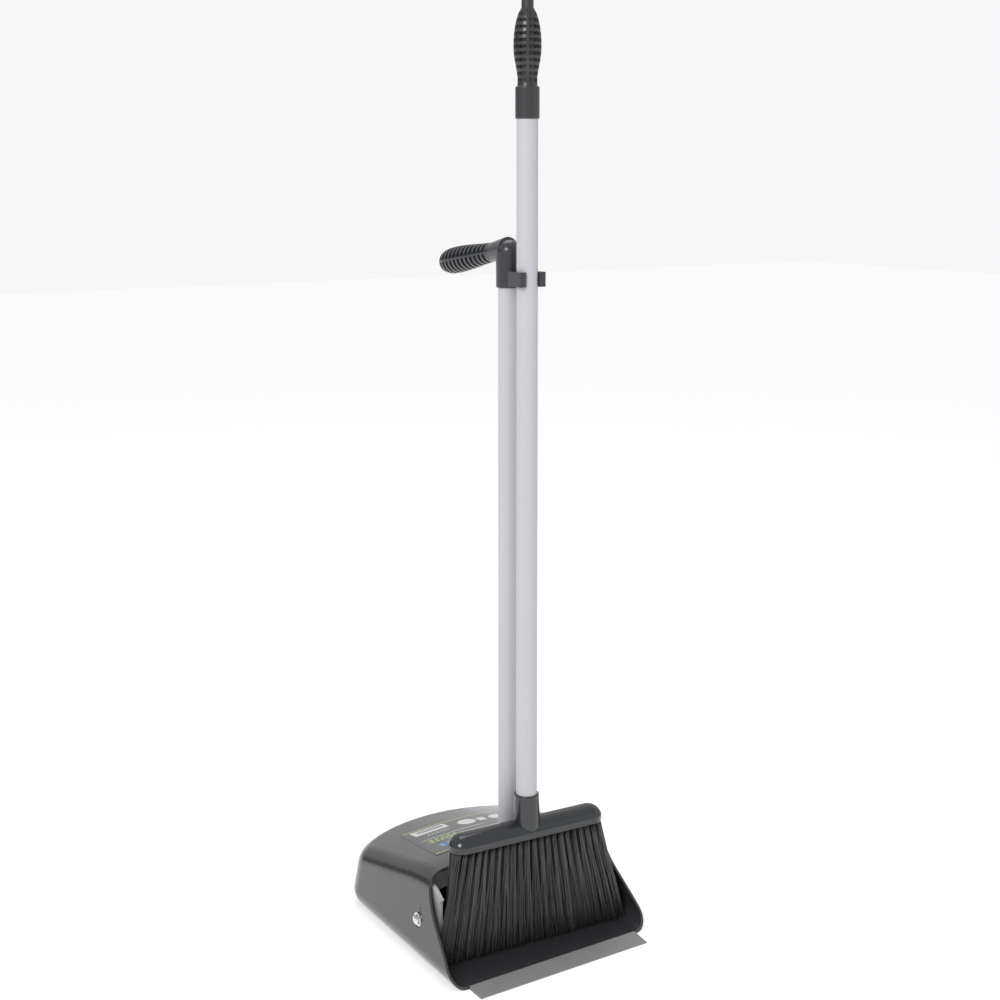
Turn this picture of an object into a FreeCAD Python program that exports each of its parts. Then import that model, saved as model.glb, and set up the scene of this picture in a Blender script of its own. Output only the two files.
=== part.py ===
import FreeCAD, Part
import math
import os

# Long-handled dustpan with a clipped-on brush. Millimetres, +Z up, +X across the pan, -Y towards
# its mouth. The origin is on the floor, on the mid-plane, straight below the pan's pivot axis.

V = FreeCAD.Vector
X_AXIS = V(1, 0, 0)
Y_AXIS = V(0, 1, 0)
Z_AXIS = V(0, 0, 1)

MARGIN = 20.0             # how far cutting tools stand past what they cut
TOUCH = 1.0               # how near to a height an edge must lie to count as at it

# --- driving dimensions: pan ---------------------------------------------------------------
PIVOT_Z = 41.0            # pivot axis above the floor
MOUTH_REACH = 79.0        # pivot axis to the foot of the mouth's rim
BACK_START = 127.0        # pivot axis to where the straight walls end
BACK_DEPTH = 69.0         # how far the rounded back stands behind that
PAN_HALF_WIDTH = 123.0    # half the width where the wall planes meet the floor
WALL_LEAN = 10.0          # degrees that the walls lean in
HOOD_FRONT_Z = 97.5       # height of the hood's crown over the pivot
HOOD_BACK_Z = 57.0        # height of the crown at the back wall
CROWN_POWER = 1.0         # how late the crown falls: 1 is a straight slope
ARCH_FRONT_RADIUS = 690.0 # arch across the hood, over the pivot
ARCH_BACK_RADIUS = 600.0  # the same at the back wall
SHOULDER_RADIUS = 21.0    # between the walls and the hood
BILGE_RADIUS = 16.0       # between the walls and the floor
WALL = 2.6                # wall thickness of the moulding
HOOD_EDGE_Y = -4.0        # the hood's front edge, at the top

# --- driving dimensions: lip strip and label -----------------------------------------------
STRIP_HALF_LENGTH = 101.5
STRIP_REACH = 22.0        # rim foot to the front edge of the strip
STRIP_NOSE = 0.9          # thickness of the strip at its front edge
STRIP_HEEL = 3.3          # height of the strip at its back edge
TONGUE_THICKNESS = 1.6    # the floor's step that carries the strip
TONGUE_REACH = 13.0
LABEL_FRONT_HALF = 77.0   # half the label's width at its front edge
LABEL_BACK_HALF = 66.0
LABEL_START_Y = 28.0
LABEL_LENGTH = 101.0
LABEL_BULGE = 4.0         # how far the back edge arches out
LABEL_THICKNESS = 0.3

# --- driving dimensions: pivots and yoke ---------------------------------------------------
BOLT_D = 6.0
BOLT_HEAD_FLATS = 10.0
BOLT_HEAD_HEIGHT = 4.2
DOME_SHARE = 0.72          # radius of the head's dome, as a share of its width
WASHER_D = 14.0
WASHER_THICKNESS = 1.2
NUT_FLATS = 10.0
NUT_HEIGHT = 5.0
BOSS_D = 20.0
HEAD_SEAT_DEPTH = 0.8     # how far the washer's seat is cut into the wall, on the axis
BOLT_END = 2.0            # how far each bolt stands out of its nut
ARM_INSET = 19.0          # pan's half width to the outer face of each yoke arm
ARM_THICKNESS = 4.0
ARM_END_RADIUS = 24.0
HORN_REACH = 27.5         # pivot axis to the tip of the arm's front horn
HORN_RISE = 28.0
HORN_WAIST = 2.5          # how far its front edge is hollowed
YOKE_CLEARANCE = 4.5      # from the hood's inner face, all through the swing
SHOULDER_ALLOWANCE = 5.0  # extra at the arms, for the hood's rounded shoulders
ARCH_DEPTH = 17.0         # height of the yoke's arch
ARCH_THICKNESS = 12.0
SOCKET_WALL = 3.0
YOKE_SOCKET_LENGTH = 46.0
SCREW_D = 4.0             # cross screw through the socket and the tube
SCREW_HEAD = 2.4
YOKE_SCREW_RISE = 20.0    # pan tube's foot to the cross screw
RUNNING_CLEARANCE = 0.06  # radial, where one piece turns on or slides off another
FIXED_CLEARANCE = 0.02    # radial, where a piece is pressed in or bonded
SIDE_CLEARANCE = 0.4

# --- driving dimensions: tubes -------------------------------------------------------------
TUBE_D = 22.0
TUBE_WALL = 0.9
PAN_TUBE_Y = 9.0          # pan tube's axis behind the pivot axis
TUBE_SPACING = 35.0       # pan tube's axis to the brush tube's axis
NOTCH_CLEARANCE = 0.6
PAN_TUBE_BOTTOM = 56.0
ELBOW_BOTTOM = 683.6
ELBOW_WALL = 2.2
ELBOW_RISE = 36.4         # elbow's foot to the centre of its dome
SOCKET_DEPTH = 28.0
GRIP_DROOP = 9.0          # degrees below level
BRANCH_LENGTH = 27.0
BRANCH_D = 21.0
BRANCH_ROOT_D = 25.0
BRANCH_RISE = 3.5         # how far the branch's axis starts above the dome's centre
SPIGOT_R = 6.0            # the branch's core, which the pan grip is pushed onto
SPIGOT_LENGTH = 60.0

# --- driving dimensions: clip --------------------------------------------------------------
CLIP_HEIGHT = 15.2
CLIP_RISE = 10.4          # elbow's foot to the clip's middle
CLIP_JAW = 4.4            # brush tube's side to the jaw's outer face
CLIP_MOUTH_HALF = 8.4
CLIP_FRONT = 10.8         # brush tube's axis to the jaws' ends
CLIP_WEB = 3.0
CLIP_BASE_HALF = 7.5
CLIP_SCREW_R = 1.6
CLIP_SCREW_HEAD_R = 3.1
CLIP_SCREW_HEAD = 2.0
CLIP_SCREW_LENGTH = 15.5

# --- driving dimensions: brush -------------------------------------------------------------
BRUSH_YAW = -3.5          # degrees that the head is turned in the clip
BLOCK_HALF_LENGTH = 90.0
BLOCK_BOTTOM = 113.5
BLOCK_TOP = 129.5
BLOCK_HALF_DEPTH = 15.0
BLOCK_SKIRT = 6.5         # height of the upright part of the block's side
BLOCK_BAND = 2.2          # height of the narrow band at the block's foot
BLOCK_BAND_INSET = 0.8
SOCKET_TOP = 157.5
BRUSH_SOCKET_WALL = 2.1   # at the socket's rim
SOCKET_FLARE = 1.4        # how much the socket widens at its foot, on each side
SOCKET_ROUND = 1.2
CROWN_SHOULDER = 0.68     # fullness of the block's rounded top
BRUSH_TUBE_SEAT = 122.0
BRISTLE_TIP_Z = 5.6
BRISTLE_ROOT_HALF = 84.0
BRISTLE_TIP_HALF = 97.5
BRISTLE_ROOT_DEPTH = 10.0
BRISTLE_TIP_DEPTH = 17.0
PLUG_LENGTH = 34.0

# --- driving dimensions: grips -------------------------------------------------------------
COLLAR_BOTTOM = 856.0
COLLAR_LENGTH = 33.0
COLLAR_WALL = 1.4
GRIP_MAX_RADIUS = 14.2
GRIP_WAIST_RADIUS = 10.2
GRIP_SPINE = 2.6
GRIP_CORE_RADIUS = 7.6
TOP_GRIP_LENGTH = 78.0
TOP_GRIP_SLOTS = 11
PAN_GRIP_LENGTH = 108.0
PAN_GRIP_SLOTS = 12
SLOT_SHARE = 0.52         # of each rib pitch that is open
SPINE_TURN = -32.0        # degrees, about the grip's own axis
EYE_RADIUS = 10.5
EYE_RISE = 18.0           # grip's end to the middle of the eye
NECK_RADIUS = 6.2
NECK_SUNK = 2.0
GRIP_RIM = 5.0            # plain stretch at a grip's ends
COLLAR_ROOF = 3.0         # between the tube's end and the grip
COLLAR_ROUND = 1.6
EYE_HOLE = 5.0            # radius of the hole in the eye
EYE_THICKNESS = 7.0

# --- worked out ----------------------------------------------------------------------------
TUBE_R = TUBE_D / 2
ARM_OUTER_X = PAN_HALF_WIDTH - ARM_INSET
SOCKET_D = TUBE_D + 2 * BRUSH_SOCKET_WALL
SOCKET_FOOT_D = SOCKET_D + 2 * SOCKET_FLARE
ELBOW_D = TUBE_D + 2 * ELBOW_WALL
COLLAR_D = TUBE_D + 2 * COLLAR_WALL
CLIP_HALF_WIDTH = TUBE_R + CLIP_JAW
LEAN = math.tan(math.radians(WALL_LEAN))
BRUSH_Y = PAN_TUBE_Y - TUBE_SPACING
ELBOW_CENTRE_Z = ELBOW_BOTTOM + ELBOW_RISE
CLIP_CENTRE_Z = ELBOW_BOTTOM + CLIP_RISE
COLLAR_TOP = COLLAR_BOTTOM + COLLAR_LENGTH
STRIP_FRONT_Y = -MOUTH_REACH - STRIP_REACH
BACK_Y = BACK_START + BACK_DEPTH
BODY_HEIGHT = HOOD_FRONT_Z + MARGIN
BODY_FRONT_Y = STRIP_FRONT_Y - MARGIN
BODY_HALF_WIDTH = PAN_HALF_WIDTH + MARGIN


def polygon(points):
    """Closed polygon through the points, as a face."""
    return Part.Face(Part.makePolygon(points + [points[0]]))


def cylinder(radius, length, base, axis=Z_AXIS):
    return Part.makeCylinder(radius, length, base, axis)


def tube(outer, inner, length, base, axis=Z_AXIS):
    return cylinder(outer, length, base, axis).cut(cylinder(inner, length, base, axis))


def hexagon_prism(across_flats, length, base, axis):
    """Hexagonal prism that starts at base and runs along the X axis, towards +X or -X."""
    corner = across_flats / math.sqrt(3)
    angles = [math.radians(60 * i + 30) for i in range(6)]
    ring = [V(base.x, base.y + corner * math.cos(a), base.z + corner * math.sin(a)) for a in angles]
    return polygon(ring).extrude(axis * length)


def mirrored(shape):
    """The shape's twin on the other side of the mid-plane."""
    return shape.mirror(V(0, 0, 0), X_AXIS)


def both_sides(shape):
    return Part.Compound([shape, mirrored(shape)])


def turned(shape, angle, axis, centre):
    copy = shape.copy()
    copy.rotate(centre, axis, angle)
    return copy


# --- pan -----------------------------------------------------------------------------------
CROWN_SECTIONS = 9
# The rim seen from the side: share of the way back to the hood's edge, share of the hood's height.
RIM_CURVE = [
    (0.0, 0.0), (0.21, 0.203), (0.51, 0.411), (0.78, 0.615), (0.89, 0.778), (0.96, 0.948), (1.0, 1.15),
]


def plan_outline(z, inset):
    """D-shaped outline of the pan at height z: straight walls and an elliptical back."""
    half = PAN_HALF_WIDTH - LEAN * z - inset
    depth = BACK_DEPTH - LEAN * z - inset
    back = Part.Ellipse(V(0, BACK_START, z), half, depth)
    arc = Part.Arc(back, 0, math.pi).toShape()
    right = Part.makeLine(V(half, BODY_FRONT_Y, z), V(half, BACK_START, z))
    left = Part.makeLine(V(-half, BACK_START, z), V(-half, BODY_FRONT_Y, z))
    front = Part.makeLine(V(-half, BODY_FRONT_Y, z), V(half, BODY_FRONT_Y, z))
    return Part.Wire([right, arc, left, front])


def crown_share(y):
    """0 over the pivot and in front of it, 1 at the back wall."""
    return (max(y, 0.0) / BACK_Y) ** CROWN_POWER


def crown_top(y):
    """Height of the hood's crown on the mid-plane."""
    return HOOD_FRONT_Z - (HOOD_FRONT_Z - HOOD_BACK_Z) * crown_share(y)


def arch_radius(y):
    return ARCH_FRONT_RADIUS + (ARCH_BACK_RADIUS - ARCH_FRONT_RADIUS) * crown_share(y)


def arch_sag(radius, x):
    """How far an arch of this radius has fallen at x from its middle."""
    return radius - math.sqrt(radius ** 2 - x ** 2)


def crown_section(y, inset):
    """Closed section across the pan whose top edge is the hood's arch."""
    side = BODY_HALF_WIDTH
    top = crown_top(y) - inset
    shoulder = top - arch_sag(arch_radius(y) - inset, side)
    low = -HOOD_FRONT_Z
    arch = Part.Arc(V(-side, y, shoulder), V(0, y, top), V(side, y, shoulder)).toShape()
    right = Part.makeLine(V(side, y, shoulder), V(side, y, low))
    base = Part.makeLine(V(side, y, low), V(-side, y, low))
    left = Part.makeLine(V(-side, y, low), V(-side, y, shoulder))
    return Part.Wire([arch, right, base, left])


def pan_body(inset):
    """Closed body of the pan, moved in by inset on every side."""
    walls = Part.makeLoft([plan_outline(inset, inset), plan_outline(BODY_HEIGHT, inset)], True, True)
    first = BODY_FRONT_Y - MARGIN / 2
    step = (BACK_Y + MARGIN - first) / CROWN_SECTIONS
    sections = [crown_section(first + step * i, inset) for i in range(CROWN_SECTIONS + 1)]
    body = walls.common(Part.makeLoft(sections, True, False))
    shoulder = []
    for edge in body.Edges:
        box = edge.BoundBox
        lowest = min(v.Point.z for v in edge.Vertexes)
        if box.YMax > BODY_FRONT_Y + TOUCH and lowest > inset + TOUCH:
            shoulder.append(edge)
    body = body.makeFillet(SHOULDER_RADIUS - inset, shoulder)
    bilge = []
    for edge in body.Edges:
        box = edge.BoundBox
        if box.YMax > BODY_FRONT_Y + TOUCH and box.ZMax < inset + TOUCH:
            bilge.append(edge)
    return body.makeFillet(BILGE_RADIUS - inset, bilge)


def mouth_cutter():
    """Everything in front of the mouth's rim, seen from the side."""
    reach = HOOD_EDGE_Y + MOUTH_REACH
    points = [V(0, -MOUTH_REACH + share * reach, height * HOOD_FRONT_Z) for share, height in RIM_CURVE]
    rim = Part.BSplineCurve()
    rim.interpolate(points)
    foot = V(0, -MOUTH_REACH, -MARGIN)
    top = V(0, HOOD_EDGE_Y, BODY_HEIGHT + MARGIN)
    far_top = V(0, BODY_FRONT_Y - MARGIN, BODY_HEIGHT + MARGIN)
    far_foot = V(0, BODY_FRONT_Y - MARGIN, -MARGIN)
    edges = [
        Part.makeLine(foot, points[0]),
        rim.toShape(),
        Part.makeLine(points[-1], top),
        Part.makeLine(top, far_top),
        Part.makeLine(far_top, far_foot),
        Part.makeLine(far_foot, foot),
    ]
    face = Part.Face(Part.Wire(edges))
    face.translate(V(-BODY_HALF_WIDTH, 0, 0))
    return face.extrude(V(2 * BODY_HALF_WIDTH, 0, 0))


def wall_x(z):
    """Outer face of the side wall at height z."""
    return PAN_HALF_WIDTH - LEAN * z


HEAD_SEAT_X = wall_x(PIVOT_Z) - HEAD_SEAT_DEPTH
BOSS_FACE_X = ARM_OUTER_X + SIDE_CLEARANCE
NUT_SEAT_X = ARM_OUTER_X - ARM_THICKNESS - SIDE_CLEARANCE - WASHER_THICKNESS
PIVOT = V(0, 0, PIVOT_Z)


def on_pivot(radius, start_x, length):
    """Cylinder on the pivot axis that runs towards +X."""
    return cylinder(radius, length, V(start_x, 0, PIVOT_Z), X_AXIS)


def pan_shell():
    """The moulded pan: floor, walls and hood, with bolt bosses and a tongue for the strip."""
    boss = on_pivot(BOSS_D / 2, BOSS_FACE_X, wall_x(PIVOT_Z) - BOSS_FACE_X - WALL / 2)
    shell = pan_body(0).cut(pan_body(WALL)).cut(mouth_cutter())
    shell = shell.fuse([boss, mirrored(boss)])
    seat = on_pivot(WASHER_D / 2 + NOTCH_CLEARANCE, HEAD_SEAT_X, MARGIN)
    hole = on_pivot(BOLT_D / 2 + RUNNING_CLEARANCE, BOSS_FACE_X - MARGIN, 2 * MARGIN)
    notch_r = TUBE_R + NOTCH_CLEARANCE
    notch_floor = HOOD_FRONT_Z - 2 * MARGIN
    notch = cylinder(notch_r, BODY_HEIGHT, V(0, PAN_TUBE_Y, notch_floor))
    throat_length = PAN_TUBE_Y + MOUTH_REACH
    throat = Part.makeBox(
        2 * notch_r,
        throat_length,
        BODY_HEIGHT,
        V(-notch_r, PAN_TUBE_Y - throat_length, notch_floor),
    )
    for tool in (seat, mirrored(seat), hole, mirrored(hole), notch, throat):
        shell = shell.cut(tool)
    tongue = Part.makeBox(
        2 * STRIP_HALF_LENGTH,
        TONGUE_REACH + WALL,
        TONGUE_THICKNESS,
        V(-STRIP_HALF_LENGTH, -MOUTH_REACH - TONGUE_REACH, 0),
    )
    return shell.fuse(tongue).removeSplitter()


def lip_strip():
    """Soft wedge on the floor's tongue; its nose lies on the ground."""
    heel_y = -MOUTH_REACH
    step_y = -MOUTH_REACH - TONGUE_REACH
    section = polygon([
        V(0, STRIP_FRONT_Y, 0),
        V(0, step_y, 0),
        V(0, step_y, TONGUE_THICKNESS),
        V(0, heel_y, TONGUE_THICKNESS),
        V(0, heel_y, STRIP_HEEL),
        V(0, STRIP_FRONT_Y, STRIP_NOSE),
    ])
    section.translate(V(-STRIP_HALF_LENGTH, 0, 0))
    return section.extrude(V(2 * STRIP_HALF_LENGTH, 0, 0))


def hood_label():
    """Printed film on the hood's crown, with an arched back edge."""
    low = PIVOT_Z
    end_y = LABEL_START_Y + LABEL_LENGTH
    front_left = V(-LABEL_FRONT_HALF, LABEL_START_Y, low)
    front_right = V(LABEL_FRONT_HALF, LABEL_START_Y, low)
    back_left = V(-LABEL_BACK_HALF, end_y, low)
    back_right = V(LABEL_BACK_HALF, end_y, low)
    edges = [
        Part.makeLine(front_left, front_right),
        Part.makeLine(front_right, back_right),
        Part.Arc(back_right, V(0, end_y + LABEL_BULGE, low), back_left).toShape(),
        Part.makeLine(back_left, front_left),
    ]
    blank = Part.Face(Part.Wire(edges)).extrude(Z_AXIS * BODY_HEIGHT)
    return blank.common(pan_body(-LABEL_THICKNESS)).cut(pan_body(0))


def pivot_bolts():
    """A domed hexagon bolt through each wall and yoke arm."""
    head_x = HEAD_SEAT_X + WASHER_THICKNESS
    head = hexagon_prism(BOLT_HEAD_FLATS, BOLT_HEAD_HEIGHT, V(head_x, 0, PIVOT_Z), X_AXIS)
    dome_r = BOLT_HEAD_FLATS * DOME_SHARE
    dome = Part.makeSphere(dome_r, V(head_x + BOLT_HEAD_HEIGHT - dome_r, 0, PIVOT_Z))
    inner_end = NUT_SEAT_X - NUT_HEIGHT - BOLT_END
    shank = on_pivot(BOLT_D / 2, inner_end, head_x - inner_end + BOLT_HEAD_HEIGHT / 2)
    return both_sides(head.common(dome).fuse(shank).removeSplitter())


def pivot_washers():
    """One washer under each bolt head and one behind each nut."""
    bore = BOLT_D / 2 + RUNNING_CLEARANCE
    outer = tube(WASHER_D / 2, bore, WASHER_THICKNESS, V(HEAD_SEAT_X, 0, PIVOT_Z), X_AXIS)
    inner = tube(WASHER_D / 2, bore, WASHER_THICKNESS, V(NUT_SEAT_X, 0, PIVOT_Z), X_AXIS)
    return Part.Compound([outer, mirrored(outer), inner, mirrored(inner)])


def pivot_nuts():
    nut = hexagon_prism(NUT_FLATS, NUT_HEIGHT, V(NUT_SEAT_X, 0, PIVOT_Z), X_AXIS * -1)
    bore = on_pivot(BOLT_D / 2 + FIXED_CLEARANCE, NUT_SEAT_X - NUT_HEIGHT, NUT_HEIGHT)
    return both_sides(nut.cut(bore))


# --- yoke and pan tube ---------------------------------------------------------------------
YOKE_SOCKET_R = TUBE_R + SOCKET_WALL
YOKE_SOCKET_BOTTOM = PAN_TUBE_BOTTOM - SOCKET_WALL
YOKE_SCREW_Z = PAN_TUBE_BOTTOM + YOKE_SCREW_RISE
ARCH_STEPS = 8


def sweep_radius(x):
    """Largest distance from the pivot axis that clears the hood's inner face at x."""
    room = HOOD_FRONT_Z - WALL - PIVOT_Z - YOKE_CLEARANCE
    return room - arch_sag(ARCH_FRONT_RADIUS, x) - SHOULDER_ALLOWANCE * (x / ARM_OUTER_X) ** 2


def sweep_points(drop):
    """Points from one arm to the other, on the clearance line lowered by drop."""
    points = []
    for i in range(-ARCH_STEPS, ARCH_STEPS + 1):
        x = ARM_OUTER_X * i / ARCH_STEPS
        points.append(V(x, 0, PIVOT_Z + sweep_radius(x) - drop))
    return points


def sweep_envelope():
    """Solid of revolution about the pivot axis that holds the yoke under the hood."""
    line = sweep_points(0)
    ends = [V(ARM_OUTER_X, 0, PIVOT_Z), V(-ARM_OUTER_X, 0, PIVOT_Z)]
    return polygon(line + ends).revolve(PIVOT, X_AXIS, 360)


def yoke_arch():
    """Curved rib from arm to arm, over the pan tube's foot."""
    upper = sweep_points(0)
    lower = sweep_points(ARCH_DEPTH)
    rib = polygon(upper + lower[::-1]).extrude(Y_AXIS * ARCH_THICKNESS)
    rib.translate(V(0, PAN_TUBE_Y - ARCH_THICKNESS / 2, 0))
    return rib


def yoke_arm():
    """Plate with a round end on the bolt, up to the arch's end."""
    inner_x = ARM_OUTER_X - ARM_THICKNESS
    disc = on_pivot(ARM_END_RADIUS, inner_x, ARM_THICKNESS)
    top = PIVOT_Z + sweep_radius(ARM_OUTER_X)
    neck = Part.makeBox(
        ARM_THICKNESS,
        ARM_END_RADIUS + PAN_TUBE_Y + ARCH_THICKNESS / 2,
        top - PIVOT_Z,
        V(inner_x, -ARM_END_RADIUS, PIVOT_Z),
    )
    return disc.fuse(neck)


def yoke_horn():
    """The arm's front edge, which stands out of the mouth past the hood's rim."""
    inner_x = ARM_OUTER_X - ARM_THICKNESS
    back_y = HOOD_EDGE_Y - SOCKET_WALL
    foot = V(inner_x, -ARM_END_RADIUS, PIVOT_Z)
    waist = V(inner_x, -ARM_END_RADIUS + HORN_WAIST, PIVOT_Z + HORN_RISE / 2)
    tip = V(inner_x, -HORN_REACH, PIVOT_Z + HORN_RISE)
    back_top = V(inner_x, back_y, PIVOT_Z + sweep_radius(ARM_OUTER_X) - SOCKET_WALL)
    back_foot = V(inner_x, back_y, PIVOT_Z)
    edges = [
        Part.Arc(foot, waist, tip).toShape(),
        Part.makeLine(tip, back_top),
        Part.makeLine(back_top, back_foot),
        Part.makeLine(back_foot, foot),
    ]
    return Part.Face(Part.Wire(edges)).extrude(X_AXIS * ARM_THICKNESS)


def yoke():
    """Two arms, the arch between them and the socket that holds the pan tube."""
    arm = yoke_arm()
    socket = cylinder(YOKE_SOCKET_R, YOKE_SOCKET_LENGTH, V(0, PAN_TUBE_Y, YOKE_SOCKET_BOTTOM))
    solid = arm.fuse([mirrored(arm), yoke_arch(), socket]).common(sweep_envelope())
    horn = yoke_horn()
    solid = solid.fuse([horn, mirrored(horn)])
    bore = cylinder(TUBE_R + FIXED_CLEARANCE, BODY_HEIGHT, V(0, PAN_TUBE_Y, PAN_TUBE_BOTTOM))
    pin_hole = on_pivot(BOLT_D / 2 + RUNNING_CLEARANCE, ARM_OUTER_X - MARGIN, 2 * MARGIN)
    for tool in (bore, cross_hole(), pin_hole, mirrored(pin_hole)):
        solid = solid.cut(tool)
    return solid.removeSplitter()


def cross_hole():
    """Hole for the cross screw, right through the socket and the tube."""
    start = V(0, PAN_TUBE_Y - 2 * YOKE_SOCKET_R, YOKE_SCREW_Z)
    return cylinder(SCREW_D / 2 + FIXED_CLEARANCE, 4 * YOKE_SOCKET_R, start, Y_AXIS)


def yoke_screw():
    """Cross screw that holds the pan tube in the yoke's socket."""
    start = PAN_TUBE_Y + YOKE_SOCKET_R
    shank = cylinder(SCREW_D / 2, 2 * YOKE_SOCKET_R, V(0, PAN_TUBE_Y - YOKE_SOCKET_R, YOKE_SCREW_Z), Y_AXIS)
    head = cylinder(SCREW_D, SCREW_HEAD, V(0, start, YOKE_SCREW_Z), Y_AXIS)
    slot = Part.makeBox(
        SCREW_D / 4,
        SCREW_HEAD,
        2 * SCREW_D,
        V(-SCREW_D / 8, start + SCREW_HEAD / 2, YOKE_SCREW_Z - SCREW_D),
    )
    return head.fuse(shank).cut(slot)


def pan_tube():
    top = ELBOW_BOTTOM + SOCKET_DEPTH
    body = tube(TUBE_R, TUBE_R - TUBE_WALL, top - PAN_TUBE_BOTTOM, V(0, PAN_TUBE_Y, PAN_TUBE_BOTTOM))
    return body.cut(cross_hole()).cut(clip_pilot())


def tube_core():
    """Plug in the pan tube's foot, so that the cross screw can't crush the tube."""
    plug = cylinder(TUBE_R - TUBE_WALL - FIXED_CLEARANCE, PLUG_LENGTH, V(0, PAN_TUBE_Y, PAN_TUBE_BOTTOM))
    return plug.cut(cross_hole())


# --- elbow, pan grip and clip --------------------------------------------------------------
ELBOW_CENTRE = V(0, PAN_TUBE_Y, ELBOW_CENTRE_Z)
BRANCH_START = ELBOW_CENTRE + Z_AXIS * BRANCH_RISE
GRIP_AXIS = V(0, math.cos(math.radians(GRIP_DROOP)), -math.sin(math.radians(GRIP_DROOP)))
CLIP_SCREW_START = V(0, BRUSH_Y + TUBE_R + SIDE_CLEARANCE, CLIP_CENTRE_Z)


def elbow():
    """Vertical socket with a domed top and a branch that carries the pan grip."""
    bottom = V(0, PAN_TUBE_Y, ELBOW_BOTTOM)
    body = cylinder(ELBOW_D / 2, ELBOW_CENTRE_Z - ELBOW_BOTTOM, bottom)
    dome = Part.makeSphere(ELBOW_D / 2, ELBOW_CENTRE)
    branch = Part.makeCone(BRANCH_ROOT_D / 2, BRANCH_D / 2, BRANCH_LENGTH, BRANCH_START, GRIP_AXIS)
    spigot = cylinder(SPIGOT_R, BRANCH_LENGTH + SPIGOT_LENGTH, BRANCH_START, GRIP_AXIS)
    solid = body.fuse([dome, branch, spigot]).removeSplitter()
    bore = cylinder(TUBE_R + FIXED_CLEARANCE, SOCKET_DEPTH, bottom)
    return solid.cut(bore).cut(clip_pilot())


def clip_pilot():
    """Hole for the clip's screw, through the elbow's wall and the tube's."""
    return cylinder(CLIP_SCREW_R + FIXED_CLEARANCE, CLIP_SCREW_LENGTH, CLIP_SCREW_START, Y_AXIS)


# Sides of the grips: share of the length, and how much fatter than the waist it is there.
PAN_GRIP_SHAPE = [(0.0, 0.0), (0.2, 1.2), (0.5, 3.6), (0.72, 4.3), (0.93, 0.6), (1.0, -5.0)]
BROOM_GRIP_SHAPE = [(0.0, 0.3), (0.12, 0.0), (0.36, 3.1), (0.53, 4.0), (0.74, 2.8), (0.94, -1.2), (1.0, -3.6)]


def smooth_profile(points):
    """Spline through (radius, height) points in the XZ plane."""
    curve = Part.BSplineCurve()
    curve.interpolate([V(r, 0, h) for r, h in points])
    return curve.toShape()


def turned_body(points):
    """Solid of revolution about Z whose side is a spline through (radius, height) points."""
    side = smooth_profile(points)
    low, high = points[0], points[-1]
    base = Part.makeLine(V(0, 0, low[1]), V(low[0], 0, low[1]))
    cap = Part.makeLine(V(high[0], 0, high[1]), V(0, 0, high[1]))
    axis = Part.makeLine(V(0, 0, high[1]), V(0, 0, low[1]))
    face = Part.Face(Part.Wire([base, side, cap, axis]))
    return face.revolve(V(0, 0, 0), Z_AXIS, 360)


def slotted(body, first, last, count):
    """Cut ring slots between two heights, leaving a core and four spines."""
    pitch = (last - first) / count
    span = last - first
    reach = 2 * GRIP_MAX_RADIUS
    plate = Part.makeBox(GRIP_SPINE, 2 * reach, span, V(-GRIP_SPINE / 2, -reach, first))
    spines = plate.fuse(turned(plate, 90, Z_AXIS, V(0, 0, 0)))
    kept = cylinder(GRIP_CORE_RADIUS, span, V(0, 0, first)).fuse(spines)
    slots = []
    for i in range(count):
        z = first + pitch * (i + 0.5 - SLOT_SHARE / 2)
        slots.append(cylinder(reach, pitch * SLOT_SHARE, V(0, 0, z)).cut(kept))
    return body.cut(slots)


def grip_profile(foot, length, shares):
    """Points of a grip's side: each share is a height along it and a radius change from its waist."""
    return [(GRIP_WAIST_RADIUS + swell, foot + at * length) for at, swell in shares]


def pan_grip():
    """Ribbed grip with a closed round end, pushed onto the elbow's spigot."""
    length = PAN_GRIP_LENGTH
    body = turned_body(grip_profile(0.0, length, PAN_GRIP_SHAPE))
    body = slotted(body, GRIP_RIM, length - 2 * GRIP_RIM, PAN_GRIP_SLOTS)
    body = body.cut(cylinder(SPIGOT_R + FIXED_CLEARANCE, SPIGOT_LENGTH, V(0, 0, 0)))
    body = turned(body, -90 - GRIP_DROOP, X_AXIS, V(0, 0, 0))
    body.translate(BRANCH_START + GRIP_AXIS * BRANCH_LENGTH)
    return body


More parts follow.
